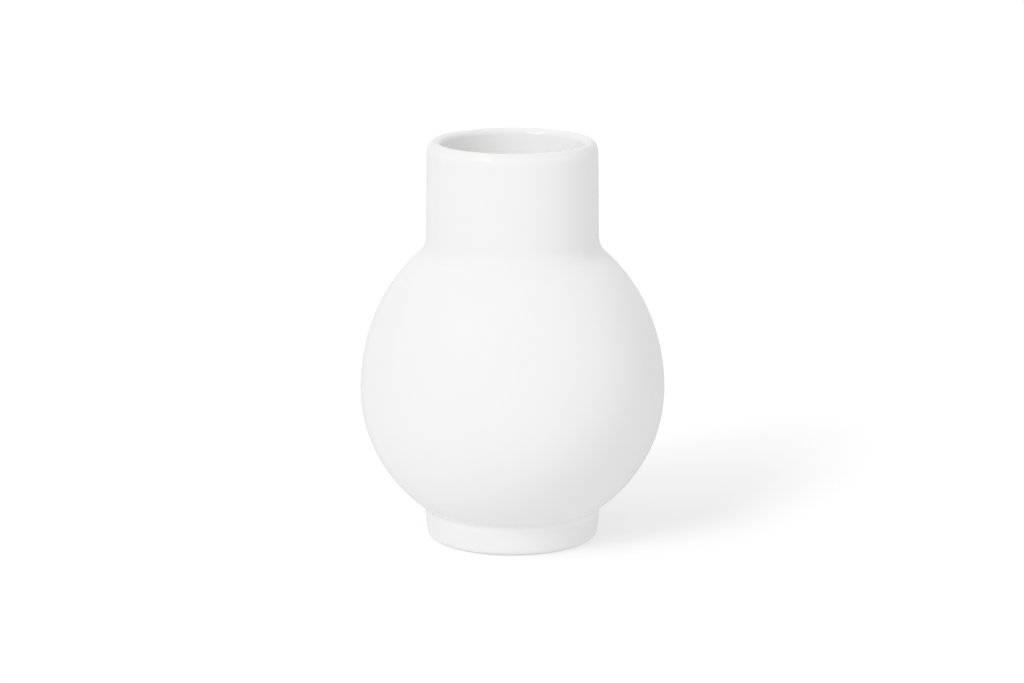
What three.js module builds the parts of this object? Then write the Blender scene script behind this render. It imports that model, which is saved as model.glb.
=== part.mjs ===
// Ball vase in white glazed ceramic: four turned sections, luted to each other with slip.
// Millimetres, +Z up. The origin is on the table, under the middle of the foot.
import * as THREE from 'three';

// Ball: two half ellipses that meet at the equator
const BALL_RADIUS = 64.3; // outside, at the equator
const SHOULDER_RISE = 73.2; // equator to where the upper half's curve would close
const BELLY_DROP = 62.5; // equator to where the lower half's curve would close
const BALL_WALL = 6; // at the equator

// Neck
const NECK_RADIUS = 36.3; // outside, where the collar stands on the shoulder
const NECK_TAPER = 0.4; // how much narrower the collar is under its lip
const NECK_HEIGHT = 40.3; // seat on the shoulder to the top of the lip
const LIP_WALL = 6.2; // thickness of the lip
const LIP_OUTER_ROUND = 5.4; // how far down the lip's rounding reaches outside
const LIP_INNER_ROUND = 3.4; // how far down it reaches inside
const NECK_COVE = 10.5; // radius of the hollow between neck and shoulder

// Foot and floor
const FOOT_RADIUS = 36.9; // outside, at the top of the foot ring
const FOOT_HEIGHT = 11.9; // table to the ball's seat on the foot ring
const FOOT_WALL = 9; // thickness of the foot ring
const FOOT_SWELL = 55; // radius of the curve by which the ring's outside draws in towards the table
const FOOT_OUTER_ROUND = 2.9; // radius of the ring's outer bottom edge
const FOOT_INNER_ROUND = 1.5; // radius of its inner bottom edge
const FOOT_COVE = 2.5; // radius of the hollow between foot and belly
const BOSS_DEPTH = 6.9; // how far the floor's boss hangs down inside the foot ring
const BOSS_ROUND = 1; // radius of the boss's bottom edge
const FLOOR_THICKNESS = 6; // at the axis

// Joints: a tongue or the boss centres each section, and slip in scored grooves holds it
const TONGUE_HEIGHT = 4; // how far a tongue stands above its seat
const JOINT_CLEARANCE = 0.3; // between a tongue or the boss and what it enters
const SLIP_FILM = 0.1; // slip left between the two faces of a joint
const SCORE_DEPTH = 0.8; // depth of the scored groove in each face
const SLIP_SHRINKAGE = 0.1; // the fired slip stands this far off the groove's walls

// How finely the round shapes are cut into flats
const FACETS = 48; // around the axis
const BALL_STEPS = 8; // along one half of the ball
const ROUND_STEPS = 4; // along a cove or a rounded edge
const HALVINGS = 60; // steps in the search for a cove's place
const SAME_POINT = 1e-6; // points closer than this are one point

const GLAZE_COLOUR = 0xf3f3f1;
const GLAZE_ROUGHNESS = 0.2;
const SLIP_COLOUR = 0xe8e2d6;
const SLIP_ROUGHNESS = 0.9;

const QUARTER_TURN = Math.PI / 2;

// Every outline is a list of (radius, height) points that runs up the outside and down the inside.
const at = (radius, height) => new THREE.Vector2(radius, height);

function outlineOf(...runs) {
  const isNew = (point, i, all) => i === 0 || point.distanceTo(all[i - 1]) > SAME_POINT;
  return runs.flat().filter(isNew);
}

function closedOutlineOf(...runs) {
  const outline = outlineOf(...runs);
  return outlineOf(outline, outline[0].clone());
}

function arc(centre, radiusAcross, radiusUp, from, to) {
  const clockwise = to < from;
  const curve = new THREE.EllipseCurve(centre.x, centre.y, radiusAcross, radiusUp, from, to, clockwise);
  return curve.getPoints(ROUND_STEPS);
}

// Where f, which crosses zero once, does so
function rootBetween(low, high, f) {
  const rising = f(high) > f(low);
  let [left, right] = [low, high];
  for (let i = 0; i < HALVINGS; i++) {
    const middle = (left + right) / 2;
    const isPastRoot = f(middle) > 0 === rising;
    [left, right] = isPastRoot ? [left, middle] : [middle, right];
  }
  return (left + right) / 2;
}

// One half of the ball, with heights from the equator: rise is negative for the lower half.
// The angle runs from 0 at the equator to a quarter turn at the pole.
function ballNormal(rise, angle) {
  return at(Math.cos(angle) / BALL_RADIUS, Math.sin(angle) / rise).normalize();
}

function ballPoint(rise, angle, inset = 0) {
  const outside = at(BALL_RADIUS * Math.cos(angle), rise * Math.sin(angle));
  return outside.addScaledVector(ballNormal(rise, angle), -inset);
}

// The wall changes smoothly from BALL_WALL at the equator to endWall at endAngle.
function innerBallPoint(rise, angle, endAngle, endWall) {
  const share = (Math.sin(angle) / Math.sin(endAngle)) ** 2;
  return ballPoint(rise, angle, BALL_WALL + (endWall - BALL_WALL) * share);
}

function alongBall(from, to, pointAt) {
  const turn = (to - from) / BALL_STEPS;
  return Array.from({ length: BALL_STEPS + 1 }, (_, i) => pointAt(from + turn * i));
}

// A cove is an arc that touches the ball and the upright wall of the neck or foot.
// Its centre stands one cove radius off both.
function coveBetween(rise, uprightRadius, coveRadius) {
  const centreRadius = uprightRadius + coveRadius;
  const miss = (angle) => ballPoint(rise, angle, -coveRadius).x - centreRadius;
  const angle = rootBetween(0, QUARTER_TURN, miss);
  const centre = ballPoint(rise, angle, -coveRadius);
  const normal = ballNormal(rise, angle);
  const swing = Math.atan2(normal.y, normal.x);
  const fromUpright = (radius) => arc(centre, radius, radius, Math.PI, Math.PI + swing);
  return { angle, height: centre.y, fromUpright };
}

// A seat reaches in from the outside of the wall, and is scored over its middle half.
function seatBetween(outerRadius, innerRadius) {
  const quarter = (outerRadius - innerRadius) / 4;
  return { outerRadius, scoreOuter: outerRadius - quarter, scoreInner: innerRadius + quarter };
}

// One face of a joint, from the outside in. The groove is cut down or up into its section.
function scoredFace(seat, innerRadius, height, cut) {
  return [
    at(seat.outerRadius, height),
    at(seat.scoreOuter, height),
    at(seat.scoreOuter, height + cut),
    at(seat.scoreInner, height + cut),
    at(seat.scoreInner, height),
    at(innerRadius, height),
  ];
}

// Tongues, boss and what they enter: a tongue takes half of its wall, less half of the clearance.
const lipRadius = NECK_RADIUS - NECK_TAPER;
const boreRadius = lipRadius - LIP_WALL;
const neckTongueRadius = (NECK_RADIUS + boreRadius - JOINT_CLEARANCE) / 2;
const neckRebateRadius = neckTongueRadius + JOINT_CLEARANCE;
const ballInnerRadius = BALL_RADIUS - BALL_WALL;
const bellyTongueRadius = (BALL_RADIUS + ballInnerRadius - JOINT_CLEARANCE) / 2;
const bellyRebateRadius = bellyTongueRadius + JOINT_CLEARANCE;
const rebateHeight = TONGUE_HEIGHT + JOINT_CLEARANCE;
const footInnerRadius = FOOT_RADIUS - FOOT_WALL;
const bossRadius = footInnerRadius - JOINT_CLEARANCE;

const neckSeat = seatBetween(NECK_RADIUS, neckRebateRadius);
const bellySeat = seatBetween(BALL_RADIUS, bellyRebateRadius);
const footSeat = seatBetween(FOOT_RADIUS, footInnerRadius);

// Heights of the three joints above the table
const neckCove = coveBetween(SHOULDER_RISE, NECK_RADIUS, NECK_COVE);
const footCove = coveBetween(-BELLY_DROP, FOOT_RADIUS, FOOT_COVE);
const footJoint = FOOT_HEIGHT;
const bellyJoint = footJoint - footCove.height;
const neckJoint = bellyJoint + neckCove.height;

// Heights from the neck joint
function neckCollarOutline() {
  const crestRadius = lipRadius - LIP_WALL / 2;
  const outerCentre = at(crestRadius, NECK_HEIGHT - LIP_OUTER_ROUND);
  const innerCentre = at(crestRadius, NECK_HEIGHT - LIP_INNER_ROUND);
  return closedOutlineOf(
    [at(NECK_RADIUS, 0)],
    arc(outerCentre, LIP_WALL / 2, LIP_OUTER_ROUND, 0, QUARTER_TURN),
    arc(innerCentre, LIP_WALL / 2, LIP_INNER_ROUND, QUARTER_TURN, Math.PI),
    [at(boreRadius, rebateHeight), at(neckRebateRadius, rebateHeight)],
    scoredFace(neckSeat, neckRebateRadius, 0, SCORE_DEPTH).reverse(),
  );
}

// Heights from the belly joint, as for the lower bowl
function upperBowlOutline() {
  const neckFace = neckCove.height - SLIP_FILM;
  const tongueTop = neckCove.height + TONGUE_HEIGHT;
  const neckWall = NECK_RADIUS - boreRadius;
  const outside = (angle) => ballPoint(SHOULDER_RISE, angle);
  const inside = (angle) => innerBallPoint(SHOULDER_RISE, angle, neckCove.angle, neckWall);
  const rebateAngle = rootBetween(0, neckCove.angle, (angle) => inside(angle).y - rebateHeight);
  return closedOutlineOf(
    alongBall(0, neckCove.angle, outside),
    neckCove.fromUpright(NECK_COVE).reverse().slice(0, -1),
    scoredFace(neckSeat, neckTongueRadius, neckFace, -SCORE_DEPTH),
    [at(neckTongueRadius, tongueTop), at(boreRadius, tongueTop)],
    neckCove.fromUpright(NECK_COVE + neckWall),
    alongBall(neckCove.angle, rebateAngle, inside),
    [at(bellyRebateRadius, rebateHeight)],
    scoredFace(bellySeat, bellyRebateRadius, 0, SCORE_DEPTH).reverse(),
  );
}

function lowerBowlOutline() {
  const underside = footCove.height - BOSS_DEPTH;
  const floor = underside + FLOOR_THICKNESS;
  const floorWall = floor + BELLY_DROP;
  const bossEdge = at(bossRadius - BOSS_ROUND, underside + BOSS_ROUND);
  const outside = (angle) => ballPoint(-BELLY_DROP, angle);
  const inside = (angle) => innerBallPoint(-BELLY_DROP, angle, QUARTER_TURN, floorWall);
  return outlineOf(
    [at(0, underside)],
    arc(bossEdge, BOSS_ROUND, BOSS_ROUND, -QUARTER_TURN, 0),
    scoredFace(footSeat, bossRadius, footCove.height, SCORE_DEPTH).reverse(),
    footCove.fromUpright(FOOT_COVE),
    alongBall(footCove.angle, 0, outside).slice(0, -1),
    scoredFace(bellySeat, bellyTongueRadius, -SLIP_FILM, -SCORE_DEPTH),
    [at(bellyTongueRadius, TONGUE_HEIGHT), at(ballInnerRadius, TONGUE_HEIGHT)],
    alongBall(0, QUARTER_TURN, inside).slice(0, -1),
    [at(0, floor)],
  );
}

// Heights from the table. The outside swells up to the joint, where it stands upright, and the
// rounded bottom edge touches both that curve and the table.
function footRingOutline() {
  const outerRound = Math.min(FOOT_OUTER_ROUND, FOOT_WALL / 2);
  const innerRound = Math.min(FOOT_INNER_ROUND, FOOT_WALL / 4);
  const drop = FOOT_HEIGHT - outerRound;
  const swing = Math.asin(drop / (FOOT_SWELL - outerRound));
  const swellCentre = at(FOOT_RADIUS - FOOT_SWELL, FOOT_HEIGHT);
  const outerCentre = at(swellCentre.x + drop / Math.tan(swing), outerRound);
  const innerCentre = at(footInnerRadius + innerRound, innerRound);
  return closedOutlineOf(
    arc(outerCentre, outerRound, outerRound, -QUARTER_TURN, -swing),
    arc(swellCentre, FOOT_SWELL, FOOT_SWELL, -swing, 0).slice(0, -1),
    scoredFace(footSeat, footInnerRadius, FOOT_HEIGHT - SLIP_FILM, -SCORE_DEPTH),
    arc(innerCentre, innerRound, innerRound, Math.PI, Math.PI + QUARTER_TURN),
  );
}

// A ring of fired slip in the two grooves of a joint, with heights from the joint
function slipRingOutline(seat) {
  const outerRadius = seat.scoreOuter - SLIP_SHRINKAGE;
  const innerRadius = seat.scoreInner + SLIP_SHRINKAGE;
  const top = SCORE_DEPTH - SLIP_SHRINKAGE;
  const bottom = SLIP_SHRINKAGE - SLIP_FILM - SCORE_DEPTH;
  return closedOutlineOf([
    at(outerRadius, bottom),
    at(outerRadius, top),
    at(innerRadius, top),
    at(innerRadius, bottom),
  ]);
}

function whiteGlaze() {
  return new THREE.MeshStandardMaterial({ color: GLAZE_COLOUR, roughness: GLAZE_ROUGHNESS, metalness: 0 });
}

function firedSlip() {
  return new THREE.MeshStandardMaterial({ color: SLIP_COLOUR, roughness: SLIP_ROUGHNESS, metalness: 0 });
}

function turned(name, outline, material, height) {
  const geometry = new THREE.LatheGeometry(outline, FACETS).rotateX(QUARTER_TURN);
  const mesh = new THREE.Mesh(geometry, material);
  mesh.name = name;
  mesh.position.z = height;
  return mesh;
}

const vase = new THREE.Group();
vase.name = 'ball_vase';
vase.add(
  turned('foot_ring', footRingOutline(), whiteGlaze(), 0),
  turned('foot_slip_ring', slipRingOutline(footSeat), firedSlip(), footJoint),
  turned('lower_bowl', lowerBowlOutline(), whiteGlaze(), bellyJoint),
  turned('belly_slip_ring', slipRingOutline(bellySeat), firedSlip(), bellyJoint),
  turned('upper_bowl', upperBowlOutline(), whiteGlaze(), bellyJoint),
  turned('neck_slip_ring', slipRingOutline(neckSeat), firedSlip(), neckJoint),
  turned('neck_collar', neckCollarOutline(), whiteGlaze(), neckJoint),
);

export default vase;
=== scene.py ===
"""Ball vase in white glazed ceramic, standing on a pale studio floor.

Metres, +Z up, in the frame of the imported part. Four turned sections with fine surfaces stand for
the faceted CAD ones. The rings of fired slip inside the joints keep their CAD shape.
"""
import math

import bmesh
import bpy
from mathutils import Matrix, Vector


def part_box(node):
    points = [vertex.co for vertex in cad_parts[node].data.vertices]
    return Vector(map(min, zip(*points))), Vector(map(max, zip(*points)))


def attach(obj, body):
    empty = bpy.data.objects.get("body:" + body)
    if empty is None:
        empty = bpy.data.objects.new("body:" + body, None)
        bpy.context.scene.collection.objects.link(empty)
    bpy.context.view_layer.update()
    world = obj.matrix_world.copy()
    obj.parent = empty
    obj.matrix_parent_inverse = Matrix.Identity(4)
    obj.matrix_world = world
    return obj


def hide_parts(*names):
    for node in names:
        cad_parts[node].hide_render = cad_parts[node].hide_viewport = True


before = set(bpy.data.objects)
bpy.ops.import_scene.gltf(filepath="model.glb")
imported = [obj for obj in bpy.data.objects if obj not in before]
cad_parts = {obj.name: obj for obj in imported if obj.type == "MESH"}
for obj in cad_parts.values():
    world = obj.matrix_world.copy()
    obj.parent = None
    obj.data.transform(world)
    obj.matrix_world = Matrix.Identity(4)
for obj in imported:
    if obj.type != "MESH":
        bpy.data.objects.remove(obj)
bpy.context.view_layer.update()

MM = 0.001

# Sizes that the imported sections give
LIP_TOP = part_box("neck_collar")[1].z
NECK_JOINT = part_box("neck_collar")[0].z
NECK_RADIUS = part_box("neck_collar")[1].x
NECK_TONGUE_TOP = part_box("upper_bowl")[1].z
BELLY_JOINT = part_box("upper_bowl")[0].z
BALL_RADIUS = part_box("upper_bowl")[1].x
BELLY_TONGUE_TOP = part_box("lower_bowl")[1].z
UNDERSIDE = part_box("lower_bowl")[0].z
FOOT_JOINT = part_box("foot_ring")[1].z
FOOT_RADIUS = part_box("foot_ring")[1].x

# Ball: two half ellipses that meet at the belly joint
SHOULDER_RISE = 73.2 * MM  # belly joint to where the upper half's curve would close
BELLY_DROP = 62.5 * MM  # belly joint to where the lower half's curve would close
BALL_WALL = 6.0 * MM
FLOOR_THICKNESS = 6.0 * MM

# Neck and lip
NECK_TAPER = 0.4 * MM
LIP_WALL = 6.2 * MM
LIP_OUTER_ROUND = 5.4 * MM
LIP_INNER_ROUND = 2.4 * MM  # tighter than in the CAD, as the photo shows it
NECK_COVE = 10.5 * MM  # radius of the hollow between neck and shoulder

# Foot
FOOT_WALL = 9.0 * MM
FOOT_SWELL = 55.0 * MM
FOOT_OUTER_ROUND = 2.9 * MM
FOOT_INNER_ROUND = 1.5 * MM
FOOT_COVE = 2.5 * MM  # radius of the hollow between foot and belly
RECESS_FILLET = 1.4 * MM  # glaze-filled corner under the floor
GLAZE_COAT = 0.25 * MM  # how far the glaze stands proud of the bare foot rim
GLAZE_LINE = 1.0 * MM  # height above the table where the glaze stops
CREASE_PAINTED_LIGHT_HEIGHT = 4.5 * MM  # how far up the belly the painted light reaches from the foot's cove
PAINTED_SHADE_DEPTH = 2.5 * MM  # how far from the lip's crest and the foot's cove the painted shade changes

# Joints
SLIP_FILM = 0.1 * MM
SCORE_DEPTH = 0.9 * MM  # deep enough to clear the slip rings

# How finely the surfaces are cut
TURN_STEPS = 192  # around the axis
FEWEST_STEPS = 3
NECK_CUTS = 8  # up the outside of the neck
BALL_STEP = math.radians(1.25)
COVE_STEPS = 24
LIP_STEPS = 16
EDGE_STEPS = 12
BEAD_STEPS = 5
SHARP_EDGE = math.radians(35.0)
SAME_POINT = 0.001 * MM
HALVINGS = 60  # of the range in which the coves' ends are searched

QUARTER_TURN = math.pi / 2
FULL_TURN = math.tau
LIGHT_AND_SHADE_ATTRIBUTE = "light_and_shade_share"


class Outline:
    """A section's outline in the X Z plane, which is then turned about the vase's axis."""

    def __init__(self, radius, height):
        self.shape = bmesh.new()
        self.tip = self.shape.verts.new((radius, 0.0, height))

    def run_to(self, *points):
        """Draws straight on through (radius, height) points."""
        for radius, height in points:
            made = bmesh.ops.extrude_vert_indiv(self.shape, verts=[self.tip])
            self.tip = made["verts"][0]
            self.tip.co = (radius, 0.0, height)
        return self

    def sweep(self, centre, turn, steps, stretch=1.0):
        """Carries the tip round a centre. A stretch in height makes the arc part of an ellipse."""
        radius, height = centre
        to_centre = Matrix.Translation((-radius, 0.0, -height))
        first = self.tip
        bmesh.ops.scale(self.shape, verts=[first], vec=(1.0, 1.0, 1.0 / stretch), space=to_centre)
        made = bmesh.ops.spin(
            self.shape,
            geom=[first],
            cent=(radius, 0.0, height),
            axis=(0.0, -1.0, 0.0),
            angle=turn,
            steps=steps,
        )
        self.tip = made["geom_last"][0]
        swept = [first] + self.shape.verts[-steps:]
        bmesh.ops.scale(self.shape, verts=swept, vec=(1.0, 1.0, stretch), space=to_centre)
        return self

    def turned(self, name, light_and_shade_share):
        """Spins the outline into a closed piece with smooth walls and crisp joint faces, and keeps
        on each vertex the share that sets its tone: the glaze's own, painted shade or painted light."""
        shape = self.shape
        bmesh.ops.spin(
            shape,
            geom=shape.verts[:] + shape.edges[:],
            cent=(0.0, 0.0, 0.0),
            axis=(0.0, 0.0, 1.0),
            angle=FULL_TURN,
            steps=TURN_STEPS,
            use_merge=True,
        )
        bmesh.ops.remove_doubles(shape, verts=shape.verts[:], dist=SAME_POINT)
        bmesh.ops.recalc_face_normals(shape, faces=shape.faces[:])
        mesh = bpy.data.meshes.new(name)
        shape.to_mesh(mesh)
        shape.free()
        mesh.shade_smooth()
        mesh.set_sharp_from_angle(angle=SHARP_EDGE)
        share = mesh.attributes.new(LIGHT_AND_SHADE_ATTRIBUTE, "FLOAT", "POINT")
        for vertex, kept in zip(mesh.vertices, share.data):
            kept.value = light_and_shade_share(math.hypot(vertex.co.x, vertex.co.y), vertex.co.z)
        piece = bpy.data.objects.new(name, mesh)
        bpy.context.scene.collection.objects.link(piece)
        return piece


def steps_along(turn):
    return max(FEWEST_STEPS, round(abs(turn) / BALL_STEP))


def ball_normal(rise, angle):
    """Outward direction of a half of the ball. The rise is negative for the lower half."""
    return Vector((math.cos(angle) / BALL_RADIUS, math.sin(angle) / rise)).normalized()


def ball_point(rise, angle, inset=0.0):
    """(radius, height above the belly joint) on a half of the ball, angle 0 at the joint."""
    outside = Vector((BALL_RADIUS * math.cos(angle), rise * math.sin(angle)))
    return outside - inset * ball_normal(rise, angle)


def cove_touch(rise, upright_radius, cove):
    """Angle on the ball where an arc that also touches the upright neck or foot leaves it."""
    low, high = 0.0, QUARTER_TURN
    for _ in range(HALVINGS):
        middle = (low + high) / 2
        if ball_point(rise, middle, -cove).x > upright_radius + cove:
            low = middle
        else:
            high = middle
    return (low + high) / 2


# Walls and joints, worked out from the sizes above
lip_radius = NECK_RADIUS - NECK_TAPER
bore_radius = lip_radius - LIP_WALL
neck_wall = NECK_RADIUS - bore_radius
neck_tongue = (NECK_RADIUS + bore_radius) / 2
inner_ball_radius = BALL_RADIUS - BALL_WALL
belly_tongue = (BALL_RADIUS + inner_ball_radius) / 2
foot_inner = FOOT_RADIUS - FOOT_WALL
inside_floor = UNDERSIDE + FLOOR_THICKNESS

shoulder_end = cove_touch(SHOULDER_RISE, NECK_RADIUS, NECK_COVE)
shoulder_normal = ball_normal(SHOULDER_RISE, shoulder_end)
neck_cove_turn = math.atan2(shoulder_normal.y, shoulder_normal.x)
neck_cove_centre = (NECK_RADIUS + NECK_COVE, NECK_JOINT)

belly_end = cove_touch(-BELLY_DROP, FOOT_RADIUS, FOOT_COVE)
belly_normal = ball_normal(-BELLY_DROP, belly_end)
foot_cove_turn = math.atan2(-belly_normal.y, belly_normal.x)
foot_cove_centre = (FOOT_RADIUS + FOOT_COVE, FOOT_JOINT + SLIP_FILM)

# The inside of the upper half is an ellipse that ends where the inside of the neck's cove begins.
inner_shoulder_end = ball_point(SHOULDER_RISE, shoulder_end, neck_wall)
inner_shoulder_angle = math.acos(inner_shoulder_end.x / inner_ball_radius)
inner_rise = inner_shoulder_end.y / math.sin(inner_shoulder_angle)
inner_tongue_angle = math.asin((BELLY_TONGUE_TOP - BELLY_JOINT) / inner_rise)
inner_tongue_radius = inner_ball_radius * math.cos(inner_tongue_angle)

ball_centre = (0.0, BELLY_JOINT)


def groove(outer, inner, height, depth):
    """Corners of the scored groove over the middle half of a seat, from the outside in."""
    quarter = (outer - inner) / 4
    return (
        (outer - quarter, height),
        (outer - quarter, height + depth),
        (inner + quarter, height + depth),
        (inner + quarter, height),
    )


def neck_collar_outline():
    crest = lip_radius - LIP_WALL / 2
    half_lip = LIP_WALL / 2
    outline = Outline(NECK_RADIUS, NECK_JOINT)
    lip_start = LIP_TOP - LIP_OUTER_ROUND
    inner_start = LIP_TOP - LIP_INNER_ROUND
    for cut in range(1, NECK_CUTS + 1):
        share = cut / NECK_CUTS
        outline.run_to((NECK_RADIUS - NECK_TAPER * share, NECK_JOINT + (lip_start - NECK_JOINT) * share))
    outline.sweep((crest, lip_start), QUARTER_TURN, LIP_STEPS, LIP_OUTER_ROUND / half_lip)
    outline.sweep((crest, inner_start), QUARTER_TURN, LIP_STEPS, LIP_INNER_ROUND / half_lip)
    outline.run_to((bore_radius, NECK_TONGUE_TOP), (neck_tongue, NECK_TONGUE_TOP))
    outline.run_to((neck_tongue, NECK_JOINT))
    outline.run_to(*reversed(groove(NECK_RADIUS, neck_tongue, NECK_JOINT, SCORE_DEPTH)))
    return outline.run_to((NECK_RADIUS, NECK_JOINT))


def upper_bowl_outline():
    # The belly joint lies in the middle of a short upright band, so its seam doesn't show.
    band = ball_point(SHOULDER_RISE, BALL_STEP / 2)
    shoulder_turn = shoulder_end - BALL_STEP / 2
    inner_turn = inner_tongue_angle - inner_shoulder_angle
    outline = Outline(BALL_RADIUS, BELLY_JOINT)
    outline.run_to((band.x, BELLY_JOINT + band.y))
    outline.sweep(ball_centre, shoulder_turn, steps_along(shoulder_turn), SHOULDER_RISE / BALL_RADIUS)
    outline.sweep(neck_cove_centre, -neck_cove_turn, COVE_STEPS)
    outline.run_to(*groove(NECK_RADIUS, neck_tongue, NECK_JOINT, -SCORE_DEPTH))
    outline.run_to((neck_tongue, NECK_JOINT), (neck_tongue, NECK_TONGUE_TOP))
    outline.run_to((bore_radius, NECK_TONGUE_TOP), (bore_radius, NECK_JOINT))
    outline.sweep(neck_cove_centre, neck_cove_turn, COVE_STEPS)
    outline.sweep(ball_centre, inner_turn, steps_along(inner_turn), inner_rise / inner_ball_radius)
    outline.run_to((belly_tongue, BELLY_TONGUE_TOP), (belly_tongue, BELLY_JOINT))
    outline.run_to(*reversed(groove(BALL_RADIUS, belly_tongue, BELLY_JOINT, SCORE_DEPTH)))
    return outline.run_to((BALL_RADIUS, BELLY_JOINT))


def lower_bowl_outline():
    fillet_centre = (foot_inner - RECESS_FILLET, UNDERSIDE - RECESS_FILLET)
    band_turn = belly_end - BALL_STEP / 2
    outline = Outline(0.0, UNDERSIDE)
    outline.run_to((foot_inner - RECESS_FILLET, UNDERSIDE))
    outline.sweep(fillet_centre, -QUARTER_TURN, EDGE_STEPS)
    outline.run_to((foot_inner, FOOT_JOINT))
    outline.run_to(*reversed(groove(FOOT_RADIUS, foot_inner, FOOT_JOINT, SCORE_DEPTH)))
    outline.run_to((FOOT_RADIUS, FOOT_JOINT), (FOOT_RADIUS, FOOT_JOINT + SLIP_FILM))
    outline.sweep(foot_cove_centre, -foot_cove_turn, COVE_STEPS)
    outline.sweep(ball_centre, band_turn, steps_along(band_turn), BELLY_DROP / BALL_RADIUS)
    outline.run_to((BALL_RADIUS, BELLY_JOINT))
    outline.run_to(*groove(BALL_RADIUS, belly_tongue, BELLY_JOINT, -SCORE_DEPTH))
    outline.run_to((belly_tongue, BELLY_JOINT), (belly_tongue, BELLY_TONGUE_TOP))
    outline.run_to((inner_tongue_radius, BELLY_TONGUE_TOP))
    outline.sweep(
        ball_centre, -inner_tongue_angle, steps_along(inner_tongue_angle), inner_rise / inner_ball_radius
    )
    return outline.sweep(
        ball_centre,
        -QUARTER_TURN,
        steps_along(QUARTER_TURN),
        (BELLY_JOINT - inside_floor) / inner_ball_radius,
    )


def glaze_edge(edge_round):
    """Where the glaze stops on a rounded edge: the angle below level, the bead's radius and the
    half angle that the bead spans on the bare clay."""
    line = math.asin(1.0 - GLAZE_LINE / edge_round)
    bead = GLAZE_COAT * math.cos(line)
    return line, bead, math.asin(bead / (2 * edge_round))


def foot_ring_outline():
    """The rounded edges are glazed down to the glaze line, and bare clay meets the table."""
    drop = FOOT_JOINT - FOOT_OUTER_ROUND
    swell_centre = FOOT_RADIUS - FOOT_SWELL
    swing = math.asin(drop / (FOOT_SWELL - FOOT_OUTER_ROUND))
    outer_centre = (swell_centre + drop / math.tan(swing), FOOT_OUTER_ROUND)
    inner_centre = (foot_inner + FOOT_INNER_ROUND, FOOT_INNER_ROUND)
    bare_outer_centre = (outer_centre[0] - GLAZE_COAT, FOOT_OUTER_ROUND)
    bare_inner_centre = (inner_centre[0] + GLAZE_COAT, FOOT_INNER_ROUND)
    outer_line, _, outer_half = glaze_edge(FOOT_OUTER_ROUND)
    inner_line, inner_bead, inner_half = glaze_edge(FOOT_INNER_ROUND)
    outer_stop = (
        bare_outer_centre[0] + FOOT_OUTER_ROUND * math.cos(outer_line),
        FOOT_OUTER_ROUND * (1.0 - math.sin(outer_line)),
    )
    inner_stop = (
        bare_inner_centre[0] - FOOT_INNER_ROUND * math.cos(inner_line),
        FOOT_INNER_ROUND * (1.0 - math.sin(inner_line)),
    )
    inner_drop = GLAZE_COAT * math.sin(inner_line)
    outer_drop = GLAZE_COAT * math.sin(outer_line)
    inner_glazed = inner_line - math.atan2(inner_drop, FOOT_INNER_ROUND + inner_bead)
    outer_glazed = outer_line + math.atan2(outer_drop, FOOT_OUTER_ROUND)

    outline = Outline(bare_outer_centre[0], 0.0)
    outline.sweep(bare_outer_centre, QUARTER_TURN - outer_line - 2 * outer_half, EDGE_STEPS)
    outline.sweep(outer_stop, QUARTER_TURN + outer_half, BEAD_STEPS)
    outline.sweep(outer_centre, outer_glazed - swing, EDGE_STEPS)
    outline.sweep((swell_centre, FOOT_JOINT), swing, EDGE_STEPS)
    outline.run_to(*groove(FOOT_RADIUS, foot_inner, FOOT_JOINT, -SCORE_DEPTH))
    outline.run_to((foot_inner, FOOT_JOINT), (foot_inner, FOOT_INNER_ROUND))
    outline.sweep(inner_centre, inner_glazed, EDGE_STEPS)
    outline.run_to(
        (
            inner_stop[0] - inner_bead * math.cos(inner_line),
            inner_stop[1] - inner_bead * math.sin(inner_line),
        )
    )
    outline.sweep(inner_stop, QUARTER_TURN + inner_half, BEAD_STEPS)
    outline.sweep(bare_inner_centre, QUARTER_TURN - inner_line - 2 * inner_half, EDGE_STEPS)
    return outline.run_to((bare_outer_centre[0], 0.0))


def new_material(name):
    material = bpy.data.materials.new(name)
    material.use_nodes = True
    tree = material.node_tree
    return material, tree, tree.nodes["Principled BSDF"]


def object_place(tree):
    return tree.nodes.new("ShaderNodeTexCoord").outputs["Object"]


def noise(tree, place, scale, detail=2.0, roughness=0.5):
    made = tree.nodes.new("ShaderNodeTexNoise")
    made.inputs["Scale"].default_value = scale
    made.inputs["Detail"].default_value = detail
    made.inputs["Roughness"].default_value = roughness
    tree.links.new(place, made.inputs["Vector"])
    return made.outputs["Fac"]


def ranged(tree, value, low, high, out_low, out_high, smooth=False):
    made = tree.nodes.new("ShaderNodeMapRange")
    made.interpolation_type = "SMOOTHSTEP" if smooth else "LINEAR"
    for socket, number in (
        ("From Min", low), ("From Max", high), ("To Min", out_low), ("To Max", out_high)
    ):
        made.inputs[socket].default_value = number
    tree.links.new(value, made.inputs["Value"])
    return made.outputs["Result"]


def combined(tree, first, second, operation="ADD"):
    """Works out a sum, or what another operation gives, from sockets or plain numbers."""
    made = tree.nodes.new("ShaderNodeMath")
    made.operation = operation
    for socket, value in zip(made.inputs, (first, second)):
        if isinstance(value, float):
            socket.default_value = value
        else:
            tree.links.new(value, socket)
    return made.outputs["Value"]


def two_tone(tree, share, first, second):
    made = tree.nodes.new("ShaderNodeMix")
    made.data_type = "RGBA"
    tree.links.new(share, made.inputs["Factor"])
    # The node's sockets share names, so its colour ones go by number.
    for socket, tone in zip((made.inputs[6], made.inputs[7]), (first, second)):
        if isinstance(tone, tuple):
            socket.default_value = (*tone, 1.0)
        else:
            tree.links.new(tone, socket)
    return made.outputs[2]


def relief(tree, height, strength, distance):
    made = tree.nodes.new("ShaderNodeBump")
    made.inputs["Strength"].default_value = strength
    made.inputs["Distance"].default_value = distance
    tree.links.new(height, made.inputs["Height"])
    return made.outputs["Normal"]
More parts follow.
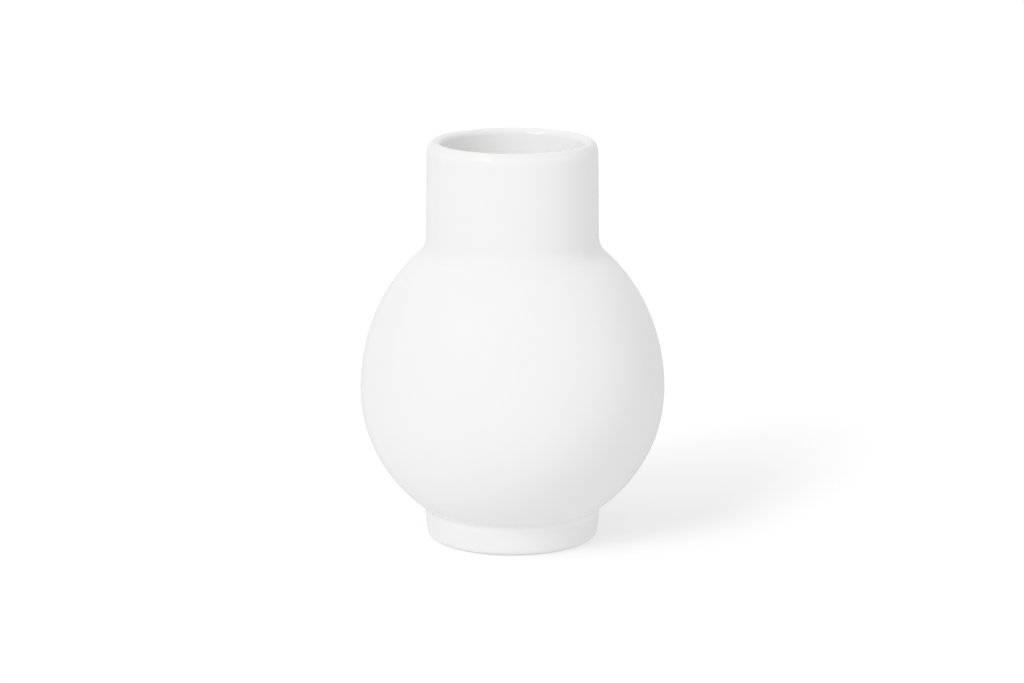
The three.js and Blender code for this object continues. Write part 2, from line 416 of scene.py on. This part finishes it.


# Tones of the glaze by its share: painted shade on the lip and foot, the glaze's own tone on the
# outside, painted light on the inside
GLAZE_PAINTED_SHADE = (0.88, 0.88, 0.879)
GLAZE_FULL = (0.928, 0.928, 0.928)
GLAZE_PAINTED_LIGHT_INSIDE = (0.992, 0.989, 0.985)
# The lip's and the foot's shares paint shade; the crease's and the inside's shares paint light.
LIP_PAINTED_SHADE_SHARE = 0.14
FOOT_PAINTED_SHADE_SHARE = 0.21
FULL_SHARE = 0.5
CREASE_PAINTED_LIGHT_SHARE = 0.6
INSIDE_PAINTED_LIGHT_SHARE = 0.96
PAINTED_SHADE_ROUND = 0.4  # how much of the lip's inner round keeps the painted shade, as a part of its height

# Surface of the glaze. Noise scales are per metre.
CLOUD_SCALE = 28.0
CLOUD_SPAN = (0.2, 0.8)
CLOUD_SHIFT = 0.06  # how far the clouds shift the glaze's share
WAVER_SCALE = 60.0
PEEL_SCALE = 520.0
PEEL_HEIGHT = 0.12
NOISE_MIDDLE = (0.3, 0.7)  # where most of a noise's values lie
GLAZE_ROUGHNESS = (0.055, 0.085)
INSIDE_SATIN = 0.2  # how much rougher the glaze is inside
GLAZE_RELIEF = (0.08, 0.2 * MM)  # strength and depth

# Bare clay of the foot's rim
BARE_CLAY = (0.8, 0.795, 0.785)
BARE_CLAY_DARK = (0.72, 0.715, 0.7)
BARE_GRAIN_SCALE = 3200.0
BARE_GRAIN_SPAN = (0.35, 0.75)
BARE_GRAIN_HEIGHT = 1.5
BARE_ROUGHNESS = 0.62  # on top of the glaze's
GLAZE_LINE_BLUR = 0.05 * MM

# Fired slip in the joints
SLIP_LIGHT = (0.74, 0.69, 0.61)
SLIP_DARK = (0.62, 0.57, 0.49)
SLIP_GRAIN_SCALE = 2400.0
SLIP_ROUGHNESS = (0.82, 0.95)
SLIP_RELIEF = (0.4, 0.1 * MM)  # strength and depth

# Floor
FLOOR_REACH = 6.0
FLOOR_DARK = (0.078, 0.078, 0.078)
FLOOR_LIGHT = (0.082, 0.082, 0.082)
FLOOR_FLECK_SCALE = 3.0
FLOOR_ROUGHNESS = 0.9
FLOOR_GLOW = 0.725
WHITE = (1.0, 1.0, 1.0, 1.0)


def glaze_parts(tree):
    """Colour, roughness and height of the white glaze."""
    place = object_place(tree)
    cloud = noise(tree, place, CLOUD_SCALE, detail=3.0)
    # The share on each vertex carries painted shade on the lip and foot, and painted light in the foot's
    # crease and down the bore.
    share = tree.nodes.new("ShaderNodeAttribute")
    share.attribute_name = LIGHT_AND_SHADE_ATTRIBUTE
    tones = tree.nodes.new("ShaderNodeValToRGB")
    stops = tones.color_ramp.elements
    stops[0].color = (*GLAZE_PAINTED_SHADE, 1.0)
    stops[1].color = (*GLAZE_PAINTED_LIGHT_INSIDE, 1.0)
    stops.new(FULL_SHARE).color = (*GLAZE_FULL, 1.0)
    shift = ranged(tree, cloud, *CLOUD_SPAN, -CLOUD_SHIFT, CLOUD_SHIFT)
    tree.links.new(combined(tree, share.outputs["Fac"], shift), tones.inputs["Fac"])
    colour = tones.outputs["Color"]
    waver = noise(tree, place, WAVER_SCALE, detail=1.0)
    peel = noise(tree, place, PEEL_SCALE)
    satin = ranged(tree, share.outputs["Fac"], CREASE_PAINTED_LIGHT_SHARE, INSIDE_PAINTED_LIGHT_SHARE, 0.0, INSIDE_SATIN)
    roughness = combined(tree, ranged(tree, waver, *NOISE_MIDDLE, *GLAZE_ROUGHNESS), satin)
    height = combined(tree, combined(tree, peel, PEEL_HEIGHT, "MULTIPLY"), waver)
    return place, colour, roughness, height


def white_glaze():
    material, tree, shader = new_material("white_glaze")
    _, colour, roughness, height = glaze_parts(tree)
    tree.links.new(colour, shader.inputs["Base Color"])
    tree.links.new(roughness, shader.inputs["Roughness"])
    tree.links.new(relief(tree, height, *GLAZE_RELIEF), shader.inputs["Normal"])
    return material


def glaze_over_bare_foot():
    material, tree, shader = new_material("glaze_over_bare_foot")
    place, colour, roughness, height = glaze_parts(tree)
    split = tree.nodes.new("ShaderNodeSeparateXYZ")
    tree.links.new(place, split.inputs["Vector"])
    bare_below = GLAZE_LINE - GLAZE_LINE_BLUR
    bare = ranged(tree, split.outputs["Z"], bare_below, GLAZE_LINE, 1.0, 0.0, smooth=True)
    grain = noise(tree, place, BARE_GRAIN_SCALE, detail=3.0, roughness=0.7)
    tone = ranged(tree, grain, *BARE_GRAIN_SPAN, 0.0, 1.0)
    clay = two_tone(tree, tone, BARE_CLAY, BARE_CLAY_DARK)
    tree.links.new(two_tone(tree, bare, colour, clay), shader.inputs["Base Color"])
    rough_bare = combined(tree, bare, BARE_ROUGHNESS, "MULTIPLY")
    tree.links.new(combined(tree, roughness, rough_bare), shader.inputs["Roughness"])
    bare_grain = combined(tree, grain, bare, "MULTIPLY")
    grain_height = combined(tree, bare_grain, BARE_GRAIN_HEIGHT, "MULTIPLY")
    whole_height = combined(tree, height, grain_height)
    tree.links.new(relief(tree, whole_height, *GLAZE_RELIEF), shader.inputs["Normal"])
    return material


def fired_slip():
    material, tree, shader = new_material("fired_slip")
    grain = noise(tree, object_place(tree), SLIP_GRAIN_SCALE, detail=3.0, roughness=0.6)
    tone = ranged(tree, grain, *NOISE_MIDDLE, 0.0, 1.0)
    tree.links.new(two_tone(tree, tone, SLIP_LIGHT, SLIP_DARK), shader.inputs["Base Color"])
    roughness = ranged(tree, grain, *NOISE_MIDDLE, *SLIP_ROUGHNESS)
    tree.links.new(roughness, shader.inputs["Roughness"])
    tree.links.new(relief(tree, grain, *SLIP_RELIEF), shader.inputs["Normal"])
    return material


def pale_floor():
    material, tree, shader = new_material("pale_floor")
    fleck = noise(tree, object_place(tree), FLOOR_FLECK_SCALE)
    tree.links.new(two_tone(tree, fleck, FLOOR_DARK, FLOOR_LIGHT), shader.inputs["Base Color"])
    shader.inputs["Roughness"].default_value = FLOOR_ROUGHNESS
    shader.inputs["Specular IOR Level"].default_value = 0.0
    shader.inputs["Emission Color"].default_value = WHITE
    shader.inputs["Emission Strength"].default_value = FLOOR_GLOW
    return material


def eased(amount):
    """Runs smoothly from 0 to 1 and stays level beyond."""
    amount = min(max(amount, 0.0), 1.0)
    return amount * amount * (3.0 - 2.0 * amount)


def collar_share(radius, height):
    """Painted shade on the lip's crest, the glaze's own tone down the outside and painted light down the
    bore.
    """
    drop = LIP_TOP - height
    if radius > bore_radius + LIP_WALL / 2:
        return LIP_PAINTED_SHADE_SHARE + (FULL_SHARE - LIP_PAINTED_SHADE_SHARE) * eased(drop / PAINTED_SHADE_DEPTH)
    return LIP_PAINTED_SHADE_SHARE + (INSIDE_PAINTED_LIGHT_SHARE - LIP_PAINTED_SHADE_SHARE) * eased(drop / LIP_INNER_ROUND - PAINTED_SHADE_ROUND)


def bowl_share(radius, height):
    """Painted light inside the middle of the ball's wall and the neck's, and painted light low on the
    belly by the foot's cove.
    """
    # The neck's bore and the inside of the ball get painted light.
    if height > BELLY_JOINT and radius < neck_tongue + SAME_POINT:
        return INSIDE_PAINTED_LIGHT_SHARE
    half_wall = BALL_WALL / 2
    rise = (inner_rise if height > BELLY_JOINT else BELLY_JOINT - inside_floor) + half_wall
    reach = math.hypot(radius / (inner_ball_radius + half_wall), (height - BELLY_JOINT) / rise)
    if reach < 1.0:
        return INSIDE_PAINTED_LIGHT_SHARE
    # Painted light low on the belly, by the foot's cove, where shade falls in the crease.
    crease_light = eased(1.0 - (height - foot_cove_centre[1]) / CREASE_PAINTED_LIGHT_HEIGHT)
    return FULL_SHARE + (CREASE_PAINTED_LIGHT_SHARE - FULL_SHARE) * crease_light


def foot_share(_radius, height):
    """Painted shade on the foot's side, and painted light towards the cove."""
    return FOOT_PAINTED_SHADE_SHARE + (CREASE_PAINTED_LIGHT_SHARE - FOOT_PAINTED_SHADE_SHARE) * eased(1.0 - (FOOT_JOINT - height) / PAINTED_SHADE_DEPTH)


def place_section(outline, name, node, material, light_and_shade_share):
    piece = outline.turned(name, light_and_shade_share)
    piece.data.materials.append(material)
    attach(piece, "root")
    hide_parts(node)
    return piece


glaze = white_glaze()
collar = place_section(neck_collar_outline(), "glazed_neck_collar", "neck_collar", glaze, collar_share)
place_section(upper_bowl_outline(), "glazed_upper_bowl", "upper_bowl", glaze, bowl_share)
place_section(lower_bowl_outline(), "glazed_lower_bowl", "lower_bowl", glaze, bowl_share)
place_section(foot_ring_outline(), "glazed_foot_ring", "foot_ring", glaze_over_bare_foot(), foot_share)

slip = fired_slip()
for ring in ("neck_slip_ring", "belly_slip_ring", "foot_slip_ring"):
    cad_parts[ring].data.materials.clear()
    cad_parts[ring].data.materials.append(slip)

# Pale floor, which fills the whole view
floor_mesh = bpy.data.meshes.new("studio_floor")
floor_shape = bmesh.new()
bmesh.ops.create_grid(floor_shape, x_segments=1, y_segments=1, size=FLOOR_REACH)
floor_shape.to_mesh(floor_mesh)
floor_shape.free()
studio_floor = bpy.data.objects.new("studio_floor", floor_mesh)
studio_floor.data.materials.append(pale_floor())
studio_floor.visible_glossy = False
studio_floor.visible_diffuse = False
studio_floor.visible_shadow = False
bpy.context.scene.collection.objects.link(studio_floor)


def look_along(thing, target):
    direction = Vector(target) - thing.location
    thing.rotation_euler = direction.to_track_quat("-Z", "Y").to_euler()


# Camera at the photo's viewing angle
CAMERA_PLACE = (0.0, -1.4728, 0.4189)
CAMERA_AIM = (-0.0002, 0.0, 0.0841)
LENS_LENGTH = 125.82  # in millimetres, as is the sensor's width
SENSOR_WIDTH = 36.0
camera_data = bpy.data.cameras.new("photo_camera")
camera_data.sensor_width = SENSOR_WIDTH
camera_data.sensor_fit = "HORIZONTAL"
camera_data.lens = LENS_LENGTH
camera = bpy.data.objects.new("photo_camera", camera_data)
camera.location = CAMERA_PLACE
look_along(camera, CAMERA_AIM)
bpy.context.scene.collection.objects.link(camera)
bpy.context.scene.camera = camera


def towards(azimuth, elevation):
    """Direction from the vase, azimuth in degrees from the camera's side and positive to the right."""
    turn, lift = math.radians(azimuth), math.radians(elevation)
    return Vector((math.sin(turn) * math.cos(lift), -math.cos(turn) * math.cos(lift), math.sin(lift)))


def lit_alone(name, piece):
    """A list of what a lamp may light: one piece and nothing else."""
    alone = bpy.data.collections.new(name)
    alone.objects.link(piece)
    return alone


def far_lamp(name, azimuth, elevation, width, strength, receivers=None, mirrored=False):
    """A soft lamp far away, its width in degrees, that lights surfaces or is mirrored in the glaze."""
    data = bpy.data.lights.new(name, "SUN")
    data.angle = math.radians(width)
    data.energy = strength
    lamp = bpy.data.objects.new(name, data)
    lamp.rotation_euler = towards(azimuth, elevation).to_track_quat("Z", "Y").to_euler()
    lamp.visible_glossy = mirrored
    lamp.visible_diffuse = not mirrored
    lamp.light_linking.receiver_collection = receivers
    bpy.context.scene.collection.objects.link(lamp)


def highlight_panel(name, place, width, length, watts, receivers=None):
    """A panel that only shows as a highlight in the glaze. It faces down until it is turned."""
    data = bpy.data.lights.new(name, "AREA")
    data.shape = "RECTANGLE"
    data.size = width
    data.size_y = length
    data.energy = watts
    lamp = bpy.data.objects.new(name, data)
    lamp.location = place
    lamp.visible_diffuse = False
    lamp.light_linking.receiver_collection = receivers
    bpy.context.scene.collection.objects.link(lamp)
    return lamp


far_lamp("key_lamp", azimuth=-40.0, elevation=36.0, width=28.0, strength=1.574)
far_lamp("left_edge_sheen", azimuth=-155.0, elevation=-12.0, width=50.0, strength=0.05, mirrored=True)

# Name, azimuth, elevation, width and strength of the lamps that only light the floor
FLOOR_LAMPS = (
    ("floor_key_lamp", -37.0, 31.0, 21.0, 6.25),
    ("floor_key_rim", -46.0, 41.0, 32.0, 3.0),
    ("floor_left_fill", -83.0, 38.0, 62.0, 4.55),
    ("floor_right_fill", 60.0, 55.0, 70.0, 2.85),
)
floor_alone = lit_alone("floor_alone", studio_floor)
for floor_lamp in FLOOR_LAMPS:
    far_lamp(*floor_lamp, receivers=floor_alone)

# Panels for the highlights on the lip. The glint hangs over the mouth and faces the back of the lip.
PANEL_DISTANCE = 2.0
STRIP_PLACE = (-0.6, -0.265, 1.2)
STRIP_TURN = math.radians(-8.9)
GLINT_PLACE = (-5.8 * MM, 10.1 * MM, LIP_TOP + 17.1 * MM)
GLINT_AIM = (8.7 * MM, 28.6 * MM, LIP_TOP - 1.6 * MM)
collar_alone = lit_alone("collar_alone", collar)
lip_centre = Vector((0.0, 0.0, LIP_TOP))
panel_place = lip_centre + PANEL_DISTANCE * towards(azimuth=-36.0, elevation=31.0)
lip_panel = highlight_panel("lip_panel", panel_place, 0.45, 0.36, watts=2.3, receivers=collar_alone)
look_along(lip_panel, lip_centre)
lip_strip = highlight_panel("lip_strip", STRIP_PLACE, 0.14, 1.22, watts=1.1, receivers=collar_alone)
lip_strip.rotation_euler.z = STRIP_TURN
lip_glint = highlight_panel(
    "lip_glint", GLINT_PLACE, 2.5 * MM, 13.0 * MM, watts=0.0009, receivers=collar_alone
)
look_along(lip_glint, GLINT_AIM)
lip_glint.visible_camera = False

# The room has no bright ceiling, so a faint disc in the mouth lights the inside of the neck.
DISC_WIDTH = 57.0 * MM
DISC_DEPTH = 1.0 * MM  # below the lip's top
disc_place = (0.0, 0.0, LIP_TOP - DISC_DEPTH)
mouth_fill = highlight_panel("mouth_fill", disc_place, DISC_WIDTH, DISC_WIDTH, watts=0.0008)
mouth_fill.data.shape = "DISK"
mouth_fill.visible_glossy = False
mouth_fill.visible_diffuse = True

# The room's even light, and the direction and strength of its broad glows
ROOM_LIGHT = 0.398
GLOW_FOCUS = 3.0
ROOM_GLOWS = (
    (towards(0.0, -90.0), 0.233),
    (towards(0.0, -45.0), 0.349),
    (towards(-120.0, -45.0), 0.536),
    (towards(60.0, 0.0), 0.622),
    (towards(120.0, 0.0), 0.179),
    (towards(180.0, 0.0), 0.158),
    (towards(180.0, 45.0), 0.543),
)


def white_room():
    """An even white room with broad glows, which light the vase and show in its glaze."""
    world = bpy.data.worlds.new("white_room")
    world.use_nodes = True
    tree = world.node_tree
    view = tree.nodes.new("ShaderNodeTexCoord").outputs["Generated"]
    light = ROOM_LIGHT
    for direction, strength in ROOM_GLOWS:
        facing = tree.nodes.new("ShaderNodeVectorMath")
        facing.operation = "DOT_PRODUCT"
        facing.inputs[1].default_value = direction
        tree.links.new(view, facing.inputs[0])
        ahead = combined(tree, facing.outputs["Value"], 0.0, "MAXIMUM")
        focused = combined(tree, ahead, GLOW_FOCUS, "POWER")
        glow = combined(tree, focused, strength, "MULTIPLY")
        light = combined(tree, glow, light)
    # The camera sees the room as white as the floor, so no horizon shows from low angles.
    seen = tree.nodes.new("ShaderNodeLightPath").outputs["Is Camera Ray"]
    light = combined(tree, light, seen)
    tree.links.new(light, tree.nodes["Background"].inputs["Strength"])
    tree.nodes["Background"].inputs["Color"].default_value = WHITE
    return world


bpy.context.scene.world = white_room()
bpy.context.scene.view_settings.view_transform = "Standard"
